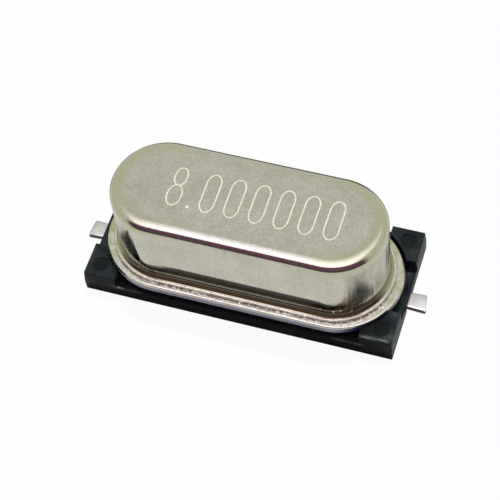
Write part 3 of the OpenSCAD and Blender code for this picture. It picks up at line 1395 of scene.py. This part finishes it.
# Painted shade on the paper, seen only by the metal: darker far in front and behind the unit
in_front = product(
    tree,
    spread(tree, radius, 12, 17, 0, 1, True),
    spread(tree, y, -1, -5, 0, 1, True),
    spread(tree, sideways, -0.85, -0.65, 0, 1, True),
    spread(tree, sideways, 1.0, 0.92, 0, 1, True),
)
behind = product(
    tree,
    spread(tree, from_spine(tree, x, y, can_spine), 3.8, 4.8, 0, 1, True),
    spread(tree, y, 1, 3, 0, 1, True),
    band(tree, x, -10, 4, 4),
)
# Painted shadow on the paper, seen only by the metal: the unit's shadow at its front foot
slope = calc(tree, "ADD", y, calc(tree, "MULTIPLY", x, 0.265))
painted_foot_shadow = product(
    tree,
    band(tree, x, -4.6, 5.3, 0.2),
    band(tree, y, -3.1, -2.0, 0.03),
    spread(tree, slope, -3.99, -3.93, 0, 1, True),
)

# %% Its colour: for the metal, for other pieces, and after light has bounced
paper_grey = (0.8, 0.8, 0.8)
# Painted shade on the paper that the metal sees: darker behind the unit and far in front
behind_shade_grey = (0.12, 0.12, 0.1)
# Painted shadow of the unit at its foot, brown, seen only by the metal
foot_shadow_brown = (0.2, 0.09, 0.035)
front_shade_plum = (0.06, 0.04, 0.045)
paper_bounced = (0.12, 0.12, 0.12)
paper_glow = 0.95
mirrored_glow = 0.04

rays = tree.nodes.new("ShaderNodeLightPath").outputs
# What the metal sees: the paper with painted shade behind and in front, and a painted shadow at
# the foot
mirrored = mix(tree, behind, paper_grey, behind_shade_grey)
mirrored = paint(tree, mirrored, ((painted_foot_shadow, foot_shadow_brown), (in_front, front_shade_plum)))
tone = mix(tree, rays["Is Glossy Ray"], paper_grey, mirrored)
tone = mix(tree, rays["Diffuse Depth"], tone, paper_bounced)
tree.links.new(tone, shader.inputs["Base Color"])
shader.inputs["Roughness"].default_value = 0.9
shader.inputs["Specular IOR Level"].default_value = 0.0
describe(paper_finish)

# %% Its glow: nearly all that the camera sees, and a little of what metal and glass see
glow = tree.nodes.new("ShaderNodeEmission")
glow.inputs["Strength"].default_value = 1.0
share = spread(tree, rays["Is Camera Ray"], 0, 1, 0, paper_glow)
for name in ("Is Glossy Ray", "Is Transmission Ray"):
    share = calc(tree, "MAXIMUM", share, spread(tree, rays[name], 0, 1, 0, mirrored_glow))
blend = tree.nodes.new("ShaderNodeMixShader")
tree.links.new(share, blend.inputs["Fac"])
tree.links.new(shader.outputs["BSDF"], blend.inputs[1])
tree.links.new(glow.outputs["Emission"], blend.inputs[2])
tree.links.new(blend.outputs["Shader"], tree.nodes["Material Output"].inputs["Surface"])
floor.data.materials.append(paper_finish)
floor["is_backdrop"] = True
describe(paper_finish)

# %% [markdown]
# ## The room
#
# A light tent surrounds the unit: pale cloth on all sides, brighter high up, with a dark
# strip low in front where the tent is open. The tent could be built from lamps and cards,
# but a world background is mirrored without noise, and Light Path gives the camera plain
# white instead of it. Each patch of the tent is a mask on the direction of a ray.

# %% Patches of the tent
world = bpy.data.worlds.new("light_tent")
bpy.context.scene.world = world
world.use_nodes = True
tree = world.node_tree
room = tree.nodes["Background"]
direction = tree.nodes.new("ShaderNodeTexCoord").outputs["Generated"]
x, y, z = axes(tree, direction)
slanted = calc(tree, "SUBTRACT", y, calc(tree, "MULTIPLY", x, 0.45))


def zone(tree, sides):
    """Share of 1 in a patch; each side is (value, from, to), and the share rises between."""
    shares = [spread(tree, value, start, end, 0, 1, True) for value, start, end in sides]
    return product(tree, *shares)


opening = zone(tree, ((x, -0.85, -0.65), (x, 1.0, 0.88), (y, -0.05, -0.3), (z, 0.27, 0.17)))
overhead = zone(tree, ((x, -0.8, -0.5), (x, 0.85, 0.5), (z, 0.54, 0.62)))
overhead = product(tree, overhead, spread(tree, slanted, 0.45, -0.4, 0, 1))

# %% Colours of the tent
tent_white = (0.76, 0.76, 0.74)
opening_plum = (0.19, 0.088, 0.15)
overhead_white = (2.1, 1.96, 2.4)
tent_bounced = (0.06, 0.06, 0.06)
backdrop_white = (1.0, 1.0, 1.0)

rays = tree.nodes.new("ShaderNodeLightPath").outputs
cloth = mix(tree, opening, tent_white, opening_plum)
cloth = paint(tree, cloth, (
    (overhead, overhead_white),
    (rays["Diffuse Depth"], tent_bounced),
    (rays["Is Camera Ray"], backdrop_white),
))
tree.links.new(cloth, room.inputs["Color"])
room.inputs["Strength"].default_value = 1.0
world.cycles.sampling_method = "NONE"
print("light_tent:", len(tree.nodes), "nodes")

# %% [markdown]
# ## The lamp
#
# One narrow soft box behind and above the unit gives the plastic and the paper most of
# their light, and a soft shadow. It is an area lamp that glossy rays don't see, because the
# metal already mirrors the tent, and a mirrored lamp would be a hard white bar on it.

# %% Soft box
lamp_place = Vector((-10, 98, 300)) * MM
lamp_length = 50 * MM
lamp_width = 3 * MM


def aim(thing, place, right, up, back):
    """Puts a lamp or a camera at a place, so that it looks along the opposite of back."""
    turn = Matrix((right, up, back)).transposed().to_4x4()
    thing.matrix_world = Matrix.Translation(place) @ turn


deselect_objects()
bpy.ops.object.light_add(type="AREA", location=lamp_place)
soft_box = bpy.context.object
soft_box.name = "soft_box"
soft_box.data.shape = "RECTANGLE"
soft_box.data.size = lamp_length
soft_box.data.size_y = lamp_width
soft_box.data.energy = 1.0
soft_box.visible_glossy = False
toward = lamp_place.normalized()
lengthwise = (Vector((1, 0, 0)) - toward * toward.x).normalized()
aim(soft_box, lamp_place, lengthwise, toward.cross(lengthwise), toward)
print(f"soft box {lamp_place.length / MM:.0f} mm from the unit")

# %% [markdown]
# ## The camera
#
# The camera looks down on the unit from the front and a little from the right, and is
# rolled a few degrees. It could be placed by hand, but angles and a distance are easier to
# correct one at a time: they give the three axes of the camera, and those its matrix.

# %% Camera
view_azimuth = math.radians(24.74)
view_elevation = math.radians(57.54)
view_roll = math.radians(-8.48)
view_distance = 58.23 * MM
target = Vector((0.081, -0.493, 2.0)) * MM

back = Vector((
    math.sin(view_azimuth) * math.cos(view_elevation),
    -math.cos(view_azimuth) * math.cos(view_elevation),
    math.sin(view_elevation),
))
right = Vector((math.cos(view_azimuth), math.sin(view_azimuth), 0))
up = back.cross(right)
rolled_right = right * math.cos(view_roll) + up * math.sin(view_roll)
rolled_up = up * math.cos(view_roll) - right * math.sin(view_roll)

camera_data = bpy.data.cameras.new("camera")
camera_data.lens = 119.89
camera_data.sensor_width = 36
camera_data.clip_start = 0.001
camera = bpy.data.objects.new("camera", camera_data)
bpy.context.scene.collection.objects.link(camera)
aim(camera, target + back * view_distance, rolled_right, rolled_up, back)
bpy.context.scene.camera = camera
bpy.context.scene.view_settings.view_transform = "Standard"
print(f"camera {view_distance / MM:.1f} mm from the unit, lens {camera_data.lens:.1f} mm")

# %% [markdown]
# ## Hand the pieces over
#
# Each modelled piece now stands for the solid whose box it was fitted to, and the solid is
# hidden. Nothing on the unit moves, so all pieces ride on the one body.

# %% What each piece rides on, replaces and is finished with
for piece, node, slot in (
    (can, "cover_can", "can_nickel"),
    (header, "header_shell", "header_nickel"),
    (base, "plastic_base", "base_plastic"),
    (lead_left, "lead_left", "lead_tin"),
    (lead_right, "lead_right", "lead_tin"),
):
    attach(piece, "root")
    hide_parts(node)
    print(piece.name, "stands for", node)

# %% Compare the sizes, and finish
seen_low, seen_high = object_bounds()
for name, low, high in (("solids", cad_low, cad_high), ("pieces", seen_low, seen_high)):
    print(name, "are", " x ".join(f"{(b - a) / MM:.2f}" for a, b in zip(low, high)), "mm")
